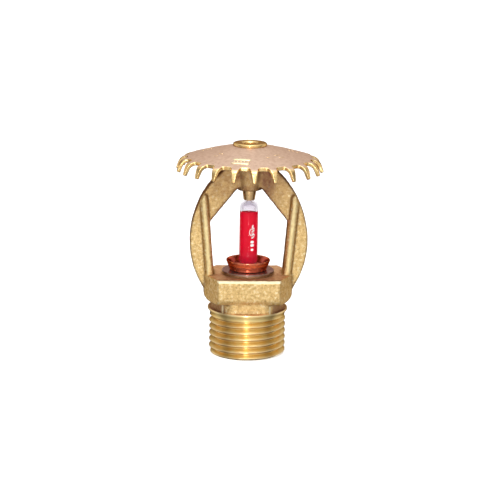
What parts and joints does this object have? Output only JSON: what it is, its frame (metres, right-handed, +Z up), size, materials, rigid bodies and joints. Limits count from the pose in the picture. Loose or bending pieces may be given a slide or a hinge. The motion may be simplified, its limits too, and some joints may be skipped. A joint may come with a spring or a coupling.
{
  "type": "fire sprinkler head",
  "caption": "Upright glass bulb sprinkler head: cast two-arm brass frame on a half inch pipe thread, screw-loaded red bulb on a sealed copper cap, coned deflector with bent teeth.",
  "frame": {"origin": "centre of the inlet face at the lower end of the pipe thread", "axes": "+Z up the axis from the inlet to the deflector, +X from arm to arm, +Y out of one wrench flat"},
  "size_m": [0.0408, 0.041, 0.0594],
  "materials": {
    "cast_brass": "as-cast blasted brass, turned on the thread",
    "bronze_sheet": "matt pickled bronze sheet with bright cut edges",
    "turned_brass": "turned brass",
    "bulb_glass": "clear blown glass",
    "red_liquid": "clear red liquid",
    "copper": "drawn copper, slightly tarnished",
    "stainless": "turned stainless steel",
    "nickel_alloy": "rolled nickel alloy",
    "seal_film": "waxy grey film"
  },
  "bodies": {
    "body_frame": {"frame": "cast_brass", "deflector": "bronze_sheet", "deflector_bushing": "turned_brass"},
    "screw": {"compression_screw": "turned_brass"},
    "cap": {"pip_cap": "copper", "pip_insert": "stainless", "seal_spring": "nickel_alloy", "seal_film_upper": "seal_film", "seal_film_lower": "seal_film"},
    "bulb": {"bulb_glass": "bulb_glass", "bulb_liquid": "red_liquid"}
  },
  "joints": [
    {"name": "screw_travel", "type": "slide", "parent": "body_frame", "child": "screw", "axis": [0, 0, 1], "range_m": [0, 0.003]},
    {"name": "cap_lift", "type": "slide", "parent": "body_frame", "child": "cap", "axis": [0, 0, 1], "range_m": [0, 0.00104]},
    {"name": "bulb_tilt", "type": "hinge", "parent": "cap", "child": "bulb", "pos_m": [0, 0, 0.02675], "axis": [1, 0, 0], "range_deg": [0, 60]}
  ],
  "couplings": [
    {"joint": "bulb_tilt", "follows": "cap_lift", "rad_per_m": 1000}
  ]
}
